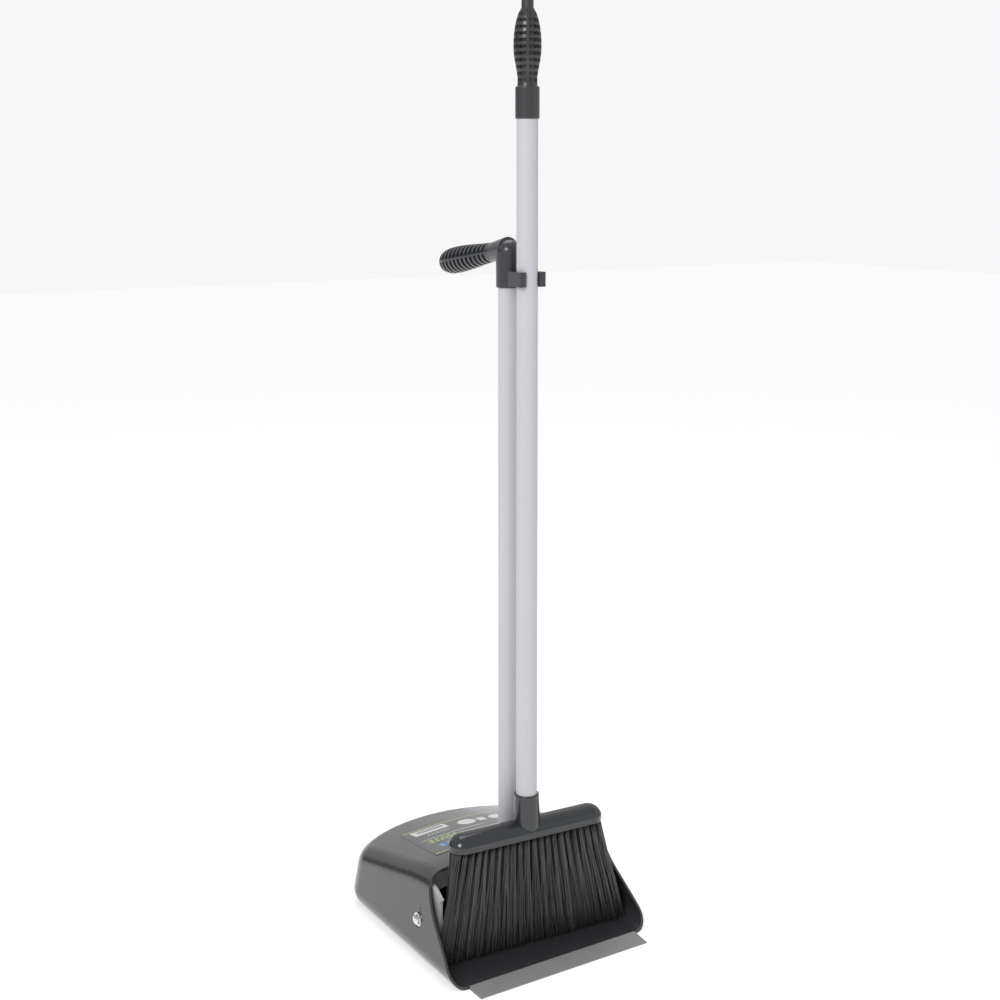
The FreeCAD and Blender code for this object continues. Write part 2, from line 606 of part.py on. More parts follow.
def broom_clip():
    """Snap clip: a C round the brush tube, on a base that fits the elbow."""
    low = CLIP_CENTRE_Z - CLIP_HEIGHT / 2
    back_y = BRUSH_Y + TUBE_R + CLIP_WEB
    front_y = BRUSH_Y - CLIP_FRONT
    corner = V(-CLIP_HALF_WIDTH, front_y, low)
    block = Part.makeBox(2 * CLIP_HALF_WIDTH, back_y - front_y, CLIP_HEIGHT, corner)
    corners = [e for e in block.Edges if e.BoundBox.ZLength > CLIP_HEIGHT / 2 and e.BoundBox.YMin > BRUSH_Y]
    block = block.makeFillet(CLIP_WEB, corners)
    base = Part.makeBox(
        2 * CLIP_BASE_HALF,
        PAN_TUBE_Y - back_y + CLIP_WEB / 2,
        CLIP_HEIGHT,
        V(-CLIP_BASE_HALF, back_y - CLIP_WEB / 2, low),
    )
    bore = cylinder(TUBE_R + RUNNING_CLEARANCE, CLIP_HEIGHT, V(0, BRUSH_Y, low))
    mouth = Part.makeBox(
        2 * CLIP_MOUTH_HALF,
        BRUSH_Y - front_y,
        CLIP_HEIGHT,
        V(-CLIP_MOUTH_HALF, front_y, low),
    )
    seat = cylinder(ELBOW_D / 2, CLIP_HEIGHT, V(0, PAN_TUBE_Y, low))
    screw = cylinder(CLIP_SCREW_R + FIXED_CLEARANCE, TUBE_SPACING, V(0, BRUSH_Y, CLIP_CENTRE_Z), Y_AXIS)
    head_end = CLIP_SCREW_START.y + CLIP_SCREW_HEAD - BRUSH_Y
    head = cylinder(CLIP_SCREW_HEAD_R + FIXED_CLEARANCE, head_end, V(0, BRUSH_Y, CLIP_CENTRE_Z), Y_AXIS)
    solid = block.fuse(base)
    for tool in (bore, mouth, seat, screw, head):
        solid = solid.cut(tool)
    return solid.removeSplitter()


def clip_screw():
    """Screw with a sunk head through the clip's web into the elbow."""
    head = cylinder(CLIP_SCREW_HEAD_R, CLIP_SCREW_HEAD, CLIP_SCREW_START, Y_AXIS)
    shank = cylinder(CLIP_SCREW_R, CLIP_SCREW_LENGTH, CLIP_SCREW_START, Y_AXIS)
    slot = Part.makeBox(
        CLIP_SCREW_R / 2,
        CLIP_SCREW_HEAD / 2,
        2 * CLIP_SCREW_HEAD_R,
        CLIP_SCREW_START - V(CLIP_SCREW_R / 4, 0, CLIP_SCREW_HEAD_R),
    )
    return head.fuse(shank).cut(slot)


# --- brush ---------------------------------------------------------------------------------
BRUSH_FOOT = V(0, BRUSH_Y, 0)


def placed_brush(shape):
    """Move a piece built about the Z axis onto the brush tube's axis."""
    copy = shape.copy()
    copy.translate(BRUSH_FOOT)
    return copy


def yawed(shape):
    return turned(shape, BRUSH_YAW, Z_AXIS, V(0, 0, 0))


def broom_tube():
    length = COLLAR_TOP - COLLAR_ROOF - BRUSH_TUBE_SEAT
    return placed_brush(tube(TUBE_R, TUBE_R - TUBE_WALL, length, V(0, 0, BRUSH_TUBE_SEAT)))


def tube_plug():
    """Plug pressed into the brush tube's foot, so that the block's socket can grip it."""
    return placed_brush(cylinder(TUBE_R - TUBE_WALL - FIXED_CLEARANCE, PLUG_LENGTH, V(0, 0, BRUSH_TUBE_SEAT)))


def block_half_section(half_depth, low):
    """Half of the block's section, from its middle to its side, in the XZ plane."""
    skirt_top = BLOCK_BOTTOM + BLOCK_SKIRT
    rise = BLOCK_TOP - skirt_top
    shoulder = V(half_depth * CROWN_SHOULDER, 0, skirt_top + rise * CROWN_SHOULDER)
    edges = [
        Part.makeLine(V(0, 0, low), V(half_depth, 0, low)),
        Part.makeLine(V(half_depth, 0, low), V(half_depth, 0, skirt_top)),
        Part.Arc(V(half_depth, 0, skirt_top), shoulder, V(0, 0, BLOCK_TOP)).toShape(),
        Part.makeLine(V(0, 0, BLOCK_TOP), V(0, 0, low)),
    ]
    return Part.Face(Part.Wire(edges))


def block_bar(half_depth, half_length, low):
    """Bar with this half section and round ends."""
    half = block_half_section(half_depth, low)
    straight = half_length - half_depth
    side = turned(half, 90, Z_AXIS, V(0, 0, 0))
    side.translate(V(-straight, 0, 0))
    back = side.extrude(V(2 * straight, 0, 0))
    front = back.mirror(V(0, 0, 0), Y_AXIS)
    end = half.revolve(V(0, 0, 0), Z_AXIS, 360)
    end.translate(V(straight, 0, 0))
    return back.fuse(front).fuse(end).fuse(mirrored(end)).removeSplitter()


def brush_block():
    """Round-ended block with a narrower band at its foot and the tube's socket on top."""
    bar = block_bar(BLOCK_HALF_DEPTH, BLOCK_HALF_LENGTH, BLOCK_BOTTOM + BLOCK_BAND)
    band = block_bar(BLOCK_HALF_DEPTH - BLOCK_BAND_INSET, BLOCK_HALF_LENGTH - BLOCK_BAND_INSET, BLOCK_BOTTOM)
    band_room = Part.makeBox(
        2 * BLOCK_HALF_LENGTH,
        2 * BLOCK_HALF_DEPTH,
        BLOCK_SKIRT,
        V(-BLOCK_HALF_LENGTH, -BLOCK_HALF_DEPTH, BLOCK_BOTTOM),
    )
    socket_foot = BLOCK_BOTTOM + BLOCK_SKIRT
    socket = Part.makeCone(SOCKET_FOOT_D / 2, SOCKET_D / 2, SOCKET_TOP - socket_foot, V(0, 0, socket_foot))
    solid = bar.fuse([band.common(band_room), socket]).removeSplitter()
    solid = solid.cut(cylinder(TUBE_R + FIXED_CLEARANCE, SOCKET_TOP, V(0, 0, BRUSH_TUBE_SEAT)))
    at_top = [e for e in solid.Edges if e.BoundBox.ZMin > SOCKET_TOP - TOUCH]
    rim = [e for e in at_top if e.BoundBox.XLength > SOCKET_D - TOUCH]
    return placed_brush(yawed(solid.makeFillet(SOCKET_ROUND, rim)))


def bristle_rectangle(half_x, half_y, z):
    corners = [V(-half_x, -half_y, z), V(half_x, -half_y, z), V(half_x, half_y, z), V(-half_x, half_y, z)]
    return Part.makePolygon(corners + [corners[0]])


def bristle_fan():
    """Flared envelope of the bristles."""
    root = bristle_rectangle(BRISTLE_ROOT_HALF, BRISTLE_ROOT_DEPTH, BLOCK_BOTTOM)
    tip = bristle_rectangle(BRISTLE_TIP_HALF, BRISTLE_TIP_DEPTH, BRISTLE_TIP_Z)
    return placed_brush(yawed(Part.makeLoft([root, tip], True, True)))


# --- brush grip ----------------------------------------------------------------------------
def grip_collar():
    """Ferrule that joins the grip to the brush tube."""
    foot = V(0, 0, COLLAR_BOTTOM)
    body = cylinder(COLLAR_D / 2, COLLAR_LENGTH, foot)
    rims = [e for e in body.Edges if e.BoundBox.ZLength < COLLAR_ROUND]
    body = body.makeFillet(COLLAR_ROUND, rims)
    bore = cylinder(TUBE_R + FIXED_CLEARANCE, COLLAR_LENGTH - COLLAR_ROOF, foot)
    return placed_brush(body.cut(bore))


def broom_grip():
    """Ribbed grip with a neck and a hanging eye."""
    length = TOP_GRIP_LENGTH
    top = COLLAR_TOP + length
    body = turned_body(grip_profile(COLLAR_TOP, length, BROOM_GRIP_SHAPE))
    body = slotted(body, COLLAR_TOP + GRIP_RIM / 2, top - GRIP_RIM / 2, TOP_GRIP_SLOTS)
    neck = cylinder(NECK_RADIUS, EYE_RISE - EYE_HOLE, V(0, 0, top - NECK_SUNK))
    eye_z = top + EYE_RISE
    eye = cylinder(EYE_RADIUS, EYE_THICKNESS, V(0, -EYE_THICKNESS / 2, eye_z), Y_AXIS)
    hole = cylinder(EYE_HOLE, EYE_THICKNESS, V(0, -EYE_THICKNESS / 2, eye_z), Y_AXIS)
    solid = body.fuse([neck, eye]).cut(hole).removeSplitter()
    return placed_brush(turned(solid, SPINE_TURN, Z_AXIS, V(0, 0, 0)))


NODES = {
    "pan_shell": pan_shell,
    "lip_strip": lip_strip,
    "hood_label": hood_label,
    "pivot_bolts": pivot_bolts,
    "pivot_washers": pivot_washers,
    "pivot_nuts": pivot_nuts,
    "yoke": yoke,
    "yoke_screw": yoke_screw,
    "pan_tube": pan_tube,
    "tube_core": tube_core,
    "elbow": elbow,
    "pan_grip": pan_grip,
    "broom_clip": broom_clip,
    "clip_screw": clip_screw,
    "broom_tube": broom_tube,
    "tube_plug": tube_plug,
    "brush_block": brush_block,
    "bristle_fan": bristle_fan,
    "grip_collar": grip_collar,
    "broom_grip": broom_grip,
}


os.makedirs("parts", exist_ok=True)
for name, build in NODES.items():
    shape = build()
    shape.exportStep("parts/%s.step" % name)
    print(name, len(shape.Solids), round(shape.Volume), "valid" if shape.isValid() else "INVALID")
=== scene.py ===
"""Long-handled dustpan with its brush clipped to the handle.

The solids come packed, with their joints. This script gives each of them its finish, replaces the
plain block of the bristles with real strands, adds the small moulding details, and sets the studio.
Every size is in metres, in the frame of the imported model.
"""

import logging
import math
import random
from dataclasses import dataclass
from enum import Enum
from typing import Any, Dict, List, Mapping, Sequence, Tuple, Union

import bmesh
import bpy
from mathutils import Matrix, Vector


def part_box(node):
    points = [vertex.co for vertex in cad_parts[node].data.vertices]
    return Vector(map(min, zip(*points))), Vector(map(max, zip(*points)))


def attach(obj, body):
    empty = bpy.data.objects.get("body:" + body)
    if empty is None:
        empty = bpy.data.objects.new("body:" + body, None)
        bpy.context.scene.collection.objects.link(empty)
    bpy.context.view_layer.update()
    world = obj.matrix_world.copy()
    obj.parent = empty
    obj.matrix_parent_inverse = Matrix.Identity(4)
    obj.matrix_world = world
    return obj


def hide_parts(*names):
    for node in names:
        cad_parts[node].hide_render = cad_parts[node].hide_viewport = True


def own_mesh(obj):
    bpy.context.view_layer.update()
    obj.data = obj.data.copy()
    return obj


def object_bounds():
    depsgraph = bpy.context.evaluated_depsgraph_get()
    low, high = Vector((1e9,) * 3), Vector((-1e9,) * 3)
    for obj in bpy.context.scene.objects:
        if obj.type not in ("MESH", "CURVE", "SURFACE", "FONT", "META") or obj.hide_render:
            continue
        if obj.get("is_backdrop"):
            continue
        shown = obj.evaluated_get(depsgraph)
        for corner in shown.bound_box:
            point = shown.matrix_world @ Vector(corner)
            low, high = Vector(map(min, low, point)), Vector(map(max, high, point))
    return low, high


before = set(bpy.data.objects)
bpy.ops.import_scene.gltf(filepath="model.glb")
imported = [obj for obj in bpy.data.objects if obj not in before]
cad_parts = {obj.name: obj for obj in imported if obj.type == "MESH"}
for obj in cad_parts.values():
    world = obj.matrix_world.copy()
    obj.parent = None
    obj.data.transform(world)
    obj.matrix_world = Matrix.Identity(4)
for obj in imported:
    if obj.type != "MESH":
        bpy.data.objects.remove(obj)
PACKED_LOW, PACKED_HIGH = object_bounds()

LOG = logging.getLogger("dustpan")
MM = 0.001

Colour = Tuple[float, float, float]
Term = Union[float, "Signal"]


# --- shader graph --------------------------------------------------------------------------
class Signal:
    """A shader socket, with the arithmetic that the finishes write as plain expressions."""

    def __init__(self, graph: "Graph", socket: bpy.types.NodeSocket) -> None:
        """Wrap a socket.

        Args:
            graph: the graph that the socket belongs to.
            socket: an output socket.
        """
        self.graph = graph
        self.socket = socket

    def _math(self, operation: str, *terms: Term) -> "Signal":
        """Add one Math node.

        Args:
            operation: the Math node's operation.
            terms: its inputs, in order.

        Returns:
            The node's value.
        """
        return self.graph.add("ShaderNodeMath", {"operation": operation}, dict(enumerate(terms)))

    def __add__(self, other: Term) -> "Signal":
        """self + other."""
        return self._math("ADD", self, other)

    def __radd__(self, other: Term) -> "Signal":
        """other + self."""
        return self._math("ADD", other, self)

    def __sub__(self, other: Term) -> "Signal":
        """self - other."""
        return self._math("SUBTRACT", self, other)

    def __rsub__(self, other: Term) -> "Signal":
        """other - self."""
        return self._math("SUBTRACT", other, self)

    def __mul__(self, other: Term) -> "Signal":
        """self * other."""
        return self._math("MULTIPLY", self, other)

    def __rmul__(self, other: Term) -> "Signal":
        """other * self."""
        return self._math("MULTIPLY", other, self)

    def __abs__(self) -> "Signal":
        """Size without sign."""
        return self._math("ABSOLUTE", self)

    def __lt__(self, other: Term) -> "Signal":
        """1 where self is less than other, else 0."""
        return self._math("LESS_THAN", self, other)

    def either(self, other: "Signal") -> "Signal":
        """The larger of two masks."""
        return self._math("MAXIMUM", self, other)

    def wrapped(self, period: float) -> "Signal":
        """The remainder after whole periods."""
        return self._math("FLOORED_MODULO", self, period)

    def hypot(self, other: "Signal") -> "Signal":
        """Length of the pair (self, other)."""
        return self._math("SQRT", self * self + other * other)

    def ramp(self, low: float, high: float) -> "Signal":
        """0 below low, 1 above high, and smooth between."""
        return self.graph.add(
            "ShaderNodeMapRange",
            {"interpolation_type": "SMOOTHSTEP"},
            {"Value": self, "From Min": low, "From Max": high},
        )


class Graph:
    """The node tree of a material or of the world."""

    def __init__(self, tree: bpy.types.NodeTree) -> None:
        """Start an empty graph in a node tree."""
        self.tree = tree
        tree.nodes.clear()

    def add(
        self,
        kind: str,
        settings: Mapping[str, Any],
        inputs: Mapping[Union[int, str], Any],
        output: int = 0,
    ) -> Signal:
        """Add any node.

        Args:
            kind: the node's type.
            settings: the node's own properties, which are set first.
            inputs: a value or a Signal for each socket named or numbered.
            output: which of the node's outputs is wanted.

        Returns:
            That output, or nothing useful for a node that has none.
        """
        node = self.tree.nodes.new(kind)
        for name, value in settings.items():
            setattr(node, name, value)
        for key, value in inputs.items():
            socket = node.inputs[key]
            if isinstance(value, Signal):
                self.tree.links.new(value.socket, socket)
            else:
                socket.default_value = value
        return Signal(self, node.outputs[output]) if len(node.outputs) else Signal(self, None)

    def blend(self, share: Term, first: Any, second: Any) -> Signal:
        """Mix two colours.

        Args:
            share: how much of the second.
            first: a colour or a Signal.
            second: a colour or a Signal.

        Returns:
            The mixed colour.
        """
        sides = [(*c, 1.0) if isinstance(c, tuple) else c for c in (first, second)]
        return self.add(
            "ShaderNodeMix", {"data_type": "RGBA"}, {0: share, 6: sides[0], 7: sides[1]}, output=2
        )

    def place(self, stretch: Sequence[float] = (1.0, 1.0, 1.0)) -> Signal:
        """The piece's own coordinates in metres, each axis stretched for a pattern with a direction."""
        own = self.add("ShaderNodeTexCoord", {}, {}, output=3)
        return self.add("ShaderNodeMapping", {}, {"Vector": own, "Scale": tuple(stretch)})

    def axes(self, vector: Signal) -> Tuple[Signal, Signal, Signal]:
        """Split a vector.

        Args:
            vector: the vector.

        Returns:
            Its x, y and z.
        """
        first = self.add("ShaderNodeSeparateXYZ", {}, {"Vector": vector})
        node = first.socket.node
        return first, Signal(self, node.outputs[1]), Signal(self, node.outputs[2])

    def noise(self, vector: Signal, per_metre: float, detail: float = 2.0) -> Signal:
        """Soft noise from 0 to 1.

        Args:
            vector: where it is read.
            per_metre: how many lumps there are in a metre.
            detail: octaves of finer noise.

        Returns:
            The noise value.
        """
        return self.add("ShaderNodeTexNoise", {}, {"Vector": vector, "Scale": per_metre, "Detail": detail})

    def bump(self, height: Signal, depth: float, strength: float = 1.0) -> Signal:
        """Relief from a height of 0 to 1.

        Args:
            height: the relief.
            depth: what a height of 1 is in metres.
            strength: share of the relief that shows.

        Returns:
            The normal for a shader.
        """
        return self.add("ShaderNodeBump", {}, {"Strength": strength, "Distance": depth, "Height": height})

    def surface(self, **sockets: Any) -> None:
        """Close a material with a Principled shader.

        Args:
            sockets: a value or a Signal for each of its sockets, with _ for a space.
        """
        named = {key.replace("_", " "): value for key, value in sockets.items()}
        colour = named["Base Color"]
        if isinstance(colour, tuple):
            named["Base Color"] = (*colour, 1.0)
        shader = self.add("ShaderNodeBsdfPrincipled", {}, named)
        self.add("ShaderNodeOutputMaterial", {}, {"Surface": shader})


# --- finishes ------------------------------------------------------------------------------
PLASTIC_IOR = 1.5
ENAMEL_IOR = 1.48
COAT_ROUGHNESS = 0.07


class Slot(Enum):
    """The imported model's material slots."""

    PAN = "pan_plastic"
    LIP = "lip_rubber"
    LABEL = "label_film"
    STEEL = "bright_steel"
    YOKE = "yoke_plastic"
    TUBE = "painted_tube"
    CORE = "core_plastic"
    GRIP = "grip_plastic"
    BLOCK = "block_plastic"
    BRISTLE = "bristle"


@dataclass(frozen=True)
class Finish:
    """What every finish has: a colour, how rough it is, and how to paint its graph."""

    slot: Slot
    colour: Colour
    roughness: float

    def paint(self, graph: Graph) -> None:
        """Fill the graph; each finish has its own."""
        raise NotImplementedError

    def material(self) -> bpy.types.Material:
        """Make the material.

        Returns:
            A material named after its slot.
        """
        made = bpy.data.materials.new(self.slot.value + "_finish")
        made.use_nodes = True
        self.paint(Graph(made.node_tree))
        return made

    def shade(self, factor: float) -> Colour:
        """The finish's colour, lighter or darker."""
        red, green, blue = self.colour
        return (red * factor, green * factor, blue * factor)


@dataclass(frozen=True)
class Moulding(Finish):
    """Injection-moulded plastic: flow marks, a fine grain, and faint rubs on the gloss."""

    flow_per_metre: float = 17.0
    cloud_per_metre: float = 90.0
    grain_per_metre: float = 2600.0
    grain_depth: float = 0.03 * MM
    rub_stretch: Tuple[float, float, float] = (900.0, 70.0, 240.0)
    mottle: float = 0.08
    rubs: float = 0.10
    gloss_coat: float = 0.0

    def paint(self, graph: Graph) -> None:
        """Fill the graph."""
        own = graph.place()
        flow = graph.noise(own, self.flow_per_metre)
        cloud = graph.noise(own, self.cloud_per_metre, 4.0)
        grain = graph.noise(own, self.grain_per_metre, 3.0)
        rub = graph.noise(graph.place(self.rub_stretch), 1.0, 5.0).ramp(0.58, 0.74)
        tone = (flow + cloud) * 0.5
        graph.surface(
            Base_Color=graph.blend(tone, self.shade(1 - self.mottle), self.shade(1 + self.mottle)),
            Roughness=self.roughness + (cloud - 0.5) * 0.08 + rub * self.rubs,
            IOR=PLASTIC_IOR,
            Coat_Weight=self.gloss_coat,
            Coat_Roughness=COAT_ROUGHNESS,
            Normal=graph.bump(grain + cloud * 0.6, self.grain_depth, 0.6),
        )


@dataclass(frozen=True)
class Paint(Finish):
    """Sprayed enamel on steel tube: orange peel, a few dust specks, and drawn lines under it."""

    peel_per_metre: float = 520.0
    peel_depth: float = 0.04 * MM
    specks_per_metre: float = 1500.0
    wash_per_metre: float = 9.0
    drawn_stretch: Tuple[float, float, float] = (900.0, 900.0, 12.0)

    def paint(self, graph: Graph) -> None:
        """Fill the graph."""
        own = graph.place()
        peel = graph.noise(own, self.peel_per_metre, 1.0)
        drawn = graph.noise(graph.place(self.drawn_stretch), 1.0, 3.0)
        speck = graph.noise(own, self.specks_per_metre, 0.0).ramp(0.80, 0.86)
        wash = graph.noise(own, self.wash_per_metre, 2.0)
        base = graph.blend(wash, self.shade(0.97), self.shade(1.02))
        graph.surface(
            Base_Color=graph.blend(speck * 0.35, base, self.shade(0.72)),
            Roughness=self.roughness + (drawn - 0.5) * 0.10,
            IOR=ENAMEL_IOR,
            Normal=graph.bump(peel + drawn * 0.3, self.peel_depth, 0.5),
        )


@dataclass(frozen=True)
class Plating(Finish):
    """Zinc-plated steel: turned rings, spangle and dull spots."""

    spangle_per_metre: float = 900.0
    dull_per_metre: float = 350.0
    ring_stretch: Tuple[float, float, float] = (300.0, 4200.0, 4200.0)
    ring_depth: float = 0.02 * MM

    def paint(self, graph: Graph) -> None:
        """Fill the graph."""
        own = graph.place()
        spangle = graph.noise(own, self.spangle_per_metre, 4.0)
        rings = graph.noise(graph.place(self.ring_stretch), 1.0, 2.0)
        dull = graph.noise(own, self.dull_per_metre, 2.0).ramp(0.52, 0.70)
        graph.surface(
            Base_Color=graph.blend(spangle, self.shade(0.82), self.shade(1.08)),
            Metallic=1.0,
            Roughness=self.roughness + dull * 0.18 + (rings - 0.5) * 0.12,
            Normal=graph.bump(rings, self.ring_depth, 0.5),
        )


@dataclass(frozen=True)
class LipRubber(Finish):
    """Soft extruded strip: die lines along its length, with painted shade darkening each groove, and a dusty
    bloom.
    """

    line_pitch: float = 3.2 * MM
    line_depth: float = 0.12 * MM
    die_stretch: Tuple[float, float, float] = (6.0, 1600.0, 1600.0)
    bloom_per_metre: float = 60.0

    def paint(self, graph: Graph) -> None:
        """Fill the graph."""
        own = graph.place()
        _, along, _ = graph.axes(own)
        from_line = abs(along.wrapped(self.line_pitch) - self.line_pitch / 2)
        shaded_groove = from_line.ramp(self.line_pitch * 0.30, self.line_pitch * 0.48)
        die = graph.noise(graph.place(self.die_stretch), 1.0, 3.0)
        bloom = graph.noise(own, self.bloom_per_metre, 4.0)
        base = graph.blend(bloom, self.shade(0.90), self.shade(1.10))
        graph.surface(
            # painted shade: the colour darkens in each groove of the die lines
            Base_Color=graph.blend(shaded_groove * 0.45, base, self.shade(0.55)),
            Roughness=self.roughness + (die - 0.5) * 0.16,
            IOR=PLASTIC_IOR,
            Normal=graph.bump(die * 0.5 + (1 - shaded_groove), self.line_depth, 0.7),
        )


@dataclass(frozen=True)
class Filament(Finish):
    """Drawn plastic strand: each has its own tone, and is painted darker towards its root and paler towards
    its tip, as painted shade in the tuft.
    """

    tip_z: float = 0.006
    pale_tip_length: float = 0.030
    paling: float = 0.28
    streak_stretch: Tuple[float, float, float] = (2600.0, 2600.0, 60.0)
    streak_depth: float = 0.03 * MM

    def paint(self, graph: Graph) -> None:
        """Fill the graph."""
        tone = graph.add("ShaderNodeAttribute", {"attribute_name": Bristles.TONE}, {}, output=2)
        _, _, height = graph.axes(graph.place())
        streak = graph.noise(graph.place(self.streak_stretch), 1.0, 2.0)
        # painted shade: the strands are darker up towards their roots and paler towards their tips
        tip = 1 - height.ramp(self.tip_z, self.tip_z + self.pale_tip_length)
        base = graph.blend(tone, self.shade(0.62), self.shade(1.45))
        graph.surface(
            Base_Color=graph.blend(tip * self.paling, base, self.shade(1.7)),
            Roughness=self.roughness + (streak - 0.5) * 0.20,
            IOR=PLASTIC_IOR,
            Normal=graph.bump(streak, self.streak_depth, 0.4),
        )


GREEN: Colour = (0.36, 0.52, 0.09)
WHITE: Colour = (0.72, 0.72, 0.73)
BLUE: Colour = (0.05, 0.28, 0.62)
INK: Colour = (0.035, 0.035, 0.038)
DASH_SHARE = 0.62  # of each pitch of a dashed mark that is printed


@dataclass(frozen=True)
class Mark:
    """A bar or a disc printed on the label, in millimetres from the pan's middle and pivot."""

    x: float
    y: float
    half_width: float
    half_height: float
    colour: Colour
    disc: bool = False
    dash: float = 0.0

    def mask(self, across: Signal, back: Signal) -> Signal:
        """Where the mark is printed.

        Args:
            across: the x coordinate in millimetres.
            back: the y coordinate in millimetres.

        Returns:
            1 on the mark, 0 off it.
        """
        off_x, off_y = across - self.x, back - self.y
        if self.disc:
            return off_x.hypot(off_y) < self.half_width
        found = (abs(off_x) < self.half_width) * (abs(off_y) < self.half_height)
        if self.dash:
            found = found * (across.wrapped(self.dash) < self.dash * DASH_SHARE)
        return found


@dataclass(frozen=True)
class PrintedFilm(Finish):
    """Grey film in the pan's own colour, printed with rules, a panel and plain solid shapes."""

    coat: float = 0.5
    ink_depth: float = 0.02 * MM
    cloud_per_metre: float = 60.0
    weave_per_metre: float = 1800.0

    marks: Tuple[Mark, ...] = (
        Mark(0.0, 127.4, 64.0, 0.9, GREEN),
        Mark(0.0, 32.6, 75.0, 0.9, GREEN),
        Mark(-37.0, 114.6, 21.0, 8.2, WHITE),
        Mark(-36.0, 116.0, 16.0, 4.4, INK, dash=3.1),
        Mark(-36.0, 100.0, 14.0, 0.6, WHITE, dash=5.3),
        Mark(-36.0, 96.6, 14.0, 0.6, WHITE, dash=4.1),
        Mark(-24.0, 84.6, 40.0, 0.5, WHITE),
        Mark(6.0, 106.0, 10.4, 10.4, WHITE, disc=True),
        Mark(24.0, 104.0, 4.6, 6.6, WHITE),
        Mark(43.0, 102.0, 9.4, 9.4, WHITE, disc=True),
        Mark(-42.0, 77.4, 19.5, 1.9, GREEN, dash=7.3),
        Mark(-47.0, 71.0, 15.0, 1.9, GREEN, dash=5.9),
        Mark(-45.0, 53.0, 17.0, 5.4, BLUE, dash=9.7),
        Mark(37.0, 70.0, 24.0, 0.6, WHITE, dash=6.7),
        Mark(37.0, 65.0, 24.0, 0.6, WHITE, dash=4.9),
        Mark(37.0, 60.0, 24.0, 0.6, WHITE, dash=7.9),
    )

    def paint(self, graph: Graph) -> None:
        """Fill the graph."""
        across, back, _ = graph.axes(graph.place((1 / MM, 1 / MM, 1 / MM)))
        own = graph.place()
        cloud = graph.noise(own, self.cloud_per_metre, 3.0)
        weave = graph.noise(own, self.weave_per_metre, 2.0)
        colour = graph.blend(cloud, self.shade(0.95), self.shade(1.05))
        inked = None
        for mark in self.marks:
            mask = mark.mask(across, back)
            colour = graph.blend(mask, colour, mark.colour)
            inked = mask if inked is None else inked.either(mask)
        graph.surface(
            Base_Color=colour,
            Roughness=self.roughness + inked * 0.12 + (cloud - 0.5) * 0.06,
            IOR=PLASTIC_IOR,
            Coat_Weight=self.coat,
            Coat_Roughness=COAT_ROUGHNESS,
            Normal=graph.bump(weave + inked, self.ink_depth, 0.4),
        )


# --- help for the sub-assemblies -----------------------------------------------------------
def finish_piece(
    name: str, shape: bmesh.types.BMesh, body: str, finish: bpy.types.Material
) -> bpy.types.Object:
    """Make an object from a finished bmesh.

    Args:
        name: the piece's name.
        shape: its shape in place; it is freed.
        body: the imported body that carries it.
        finish: its material.

    Returns:
        The object, riding on its body.
    """
    mesh = bpy.data.meshes.new(name)
    shape.to_mesh(mesh)
    shape.free()
    mesh.materials.append(finish)
    mesh.shade_smooth()
    made = bpy.data.objects.new(name, mesh)
    bpy.context.scene.collection.objects.link(made)
    LOG.info("%s: %d faces on %s", name, len(mesh.polygons), body)
    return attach(made, body)


class SubAssembly:
    """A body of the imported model: its nodes, and the finish each of them takes."""

    body = ""
    dressing: Mapping[Slot, Sequence[str]] = {}

    def __init__(self, finishes: Mapping[Slot, bpy.types.Material]) -> None:
        """Keep the finishes at hand.

        Args:
            finishes: a material for each slot.
        """
        self.finishes = finishes

    def build(self) -> List[bpy.types.Object]:
        """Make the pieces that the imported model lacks."""
        return []

    def dress(self) -> None:
        """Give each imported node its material."""
        for slot, nodes in self.dressing.items():
            for node in nodes:
                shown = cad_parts[node]
                if not shown.material_slots:
                    shown.data.materials.append(self.finishes[slot])
                for holder in shown.material_slots:
                    holder.material = self.finishes[slot]
                LOG.info("%s: %s", node, slot.value)


# --- pan -----------------------------------------------------------------------------------
@dataclass
class MouldMark:
    """Teardrop that the mould leaves over each pivot bolt."""

    half_width: float = 1.5 * MM
    half_height: float = 2.6 * MM
    stand: float = 0.55 * MM
    above_bolt: float = 11.4 * MM
    ahead: float = 1.6 * MM
    lean: float = math.radians(10.0)
    taper: float = 0.55

    def shape(self, side: float, bolt_low: Vector, bolt_high: Vector) -> bmesh.types.BMesh:
        """Make one mark.

        Args:
            side: -1 for the left wall, 1 for the right.
            bolt_low: lowest corner of the bolts' box.
            bolt_high: highest corner of the bolts' box.

        Returns:
            The mark in place.
        """
        drop = bmesh.new()
        bmesh.ops.create_icosphere(drop, subdivisions=3, radius=1.0)
        for point in drop.verts:
            rise = max(point.co.z, 0.0)
            point.co.y *= 1 - self.taper * rise
        bmesh.ops.scale(drop, verts=drop.verts, vec=(self.stand, self.half_width, self.half_height))
        bmesh.ops.rotate(
            drop, verts=drop.verts, cent=(0, 0, 0), matrix=Matrix.Rotation(-side * self.lean, 3, "Y")
        )
        pivot_z = (bolt_low.z + bolt_high.z) / 2
        height = pivot_z + self.above_bolt
        wall = Pan.HALF_WIDTH_AT_FLOOR - height * math.tan(self.lean)
        bmesh.ops.translate(drop, verts=drop.verts, vec=(side * wall, -self.ahead, height))
        return drop


class Pan(SubAssembly):
    """The hooded pan with its lip, label and pivot bolts."""

    body = "pan"
    HALF_WIDTH_AT_FLOOR = 123.0 * MM
    dressing = {
        Slot.PAN: ["pan_shell"],
        Slot.LIP: ["lip_strip"],
        Slot.LABEL: ["hood_label"],
        Slot.STEEL: ["pivot_bolts", "pivot_washers", "pivot_nuts"],
    }

    def build(self) -> List[bpy.types.Object]:
        """Make the mould marks over the bolts.

        Returns:
            The two marks.
        """
        low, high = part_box("pivot_bolts")
        made = []
        for name, side in (("mould_mark_left", -1.0), ("mould_mark_right", 1.0)):
            mark = finish_piece(name, MouldMark().shape(side, low, high), self.body, self.finishes[Slot.PAN])
            made.append(mark)
        return made


